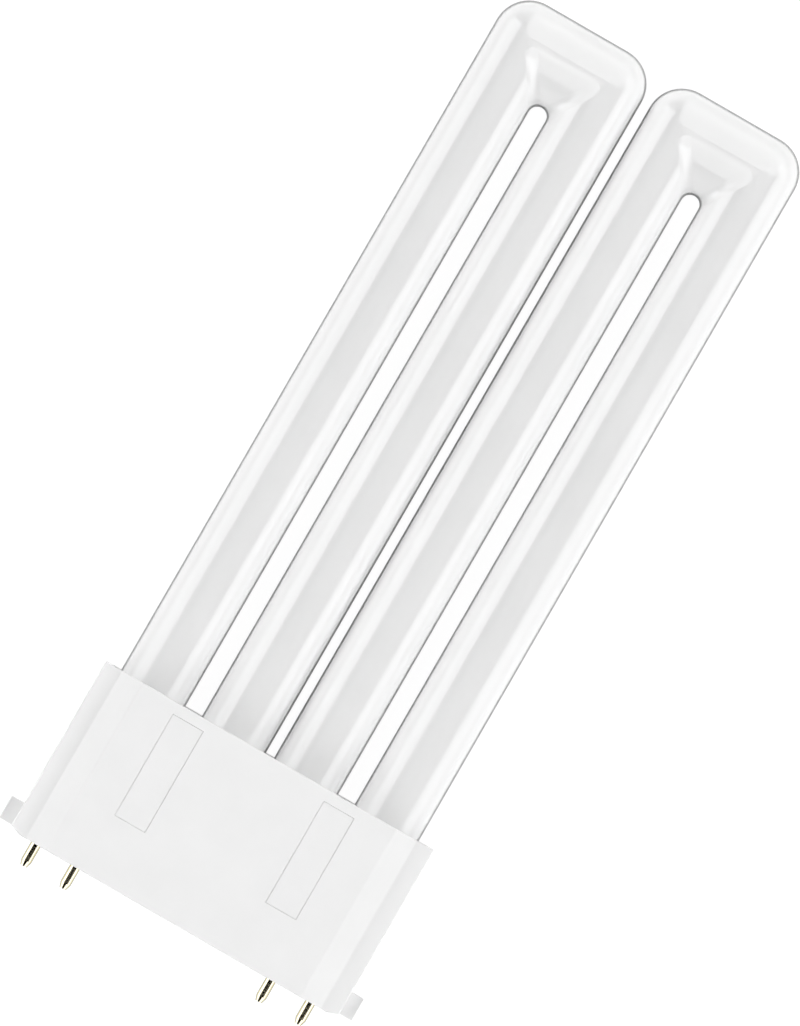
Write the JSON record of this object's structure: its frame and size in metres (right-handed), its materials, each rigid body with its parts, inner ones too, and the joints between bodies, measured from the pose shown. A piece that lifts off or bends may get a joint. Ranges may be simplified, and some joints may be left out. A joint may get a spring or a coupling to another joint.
{
  "type": "led plug-in lamp",
  "caption": "Flat plug-in LED lamp: side-by-side U-shaped opal diffuser tubes on a rectangular white base with side wings, holding lugs and brass contact pins.",
  "frame": {"origin": "middle of the base's flat end face, on the line of the contact pins and at mid-depth", "axes": "the lamp lies on its back: X across it, +Y from the pins to the tops of the tubes, +Z out of its front"},
  "size_m": [0.09, 0.2227, 0.024],
  "materials": {
    "base_plastic": "fine satin white moulding",
    "opal_diffuser": "semi-gloss opal white",
    "board_metal": "matt grey sheet with a sawn edge",
    "contact_brass": "polished",
    "led_phosphor": "yellow phosphor resin",
    "connector_plastic": "natural nylon",
    "circuit_laminate": "solder-resist green",
    "ferrite": "dull sintered",
    "winding_tape": "yellow polyester tape",
    "capacitor_sleeve": "shrunk sleeve",
    "film_box": "moulded box",
    "resistor_lacquer": "lacquered",
    "chip_resin": "black moulding resin"
  },
  "bodies": {
    "root": {"base_housing": "base_plastic", "tube_carrier": "base_plastic", "contact_pin_1": "contact_brass", "contact_pin_2": "contact_brass", "contact_pin_3": "contact_brass", "contact_pin_4": "contact_brass", "front_diffuser_left": "opal_diffuser", "front_diffuser_right": "opal_diffuser", "rear_shell_left": "opal_diffuser", "rear_shell_right": "opal_diffuser", "led_board_left": "board_metal", "led_board_right": "board_metal", "leds_left": "led_phosphor", "leds_right": "led_phosphor", "led_connector_left": "connector_plastic", "led_connector_right": "connector_plastic", "driver_board": "circuit_laminate", "transformer_core": "ferrite", "transformer_winding": "winding_tape", "bulk_capacitor": "capacitor_sleeve", "output_capacitor": "capacitor_sleeve", "film_capacitor": "film_box", "filter_choke": "ferrite", "fusible_resistors": "resistor_lacquer", "driver_chip": "chip_resin", "bridge_rectifier": "chip_resin"}
  },
  "joints": []
}
